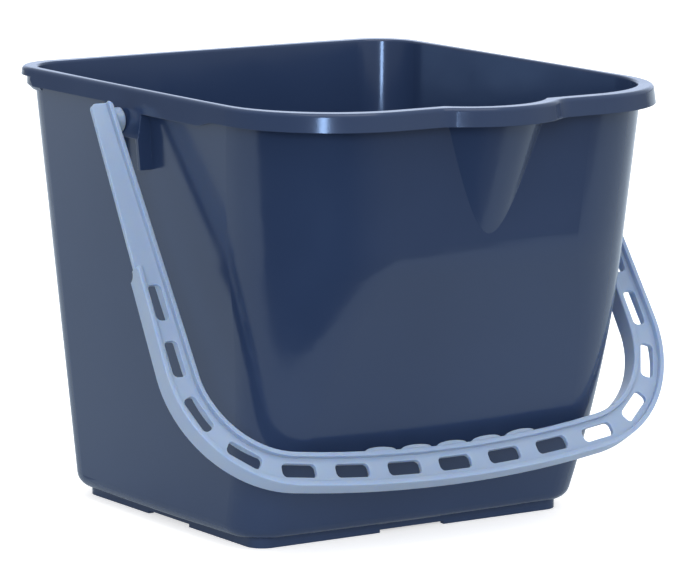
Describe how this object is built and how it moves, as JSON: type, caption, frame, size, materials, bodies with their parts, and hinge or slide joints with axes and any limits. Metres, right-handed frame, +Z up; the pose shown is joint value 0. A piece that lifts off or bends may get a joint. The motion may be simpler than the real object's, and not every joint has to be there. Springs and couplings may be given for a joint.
{
  "type": "bucket",
  "caption": "Rectangular tapered plastic bucket with a pouring spout, a flared rim, a notched foot and a swinging slotted bail handle.",
  "frame": {"origin": "on the floor at the centre of the foot", "axes": "+Z up; the pouring spout and the hanging handle are towards -Y; the handle's pivot line is along X"},
  "size_m": [0.3382, 0.3311, 0.2552],
  "materials": {
    "bucket_plastic": "glossy moulded polypropylene, dark navy",
    "handle_plastic": "satin moulded polypropylene, light blue"
  },
  "bodies": {
    "bucket": {"bucket_body": "bucket_plastic"},
    "bail": {"handle": "handle_plastic"}
  },
  "joints": [
    {"name": "bail_swing", "type": "hinge", "parent": "bucket", "child": "bail", "pos_m": [0, -0.0062, 0.2366], "axis": [-1, 0, 0], "range_deg": [0, 292]}
  ]
}
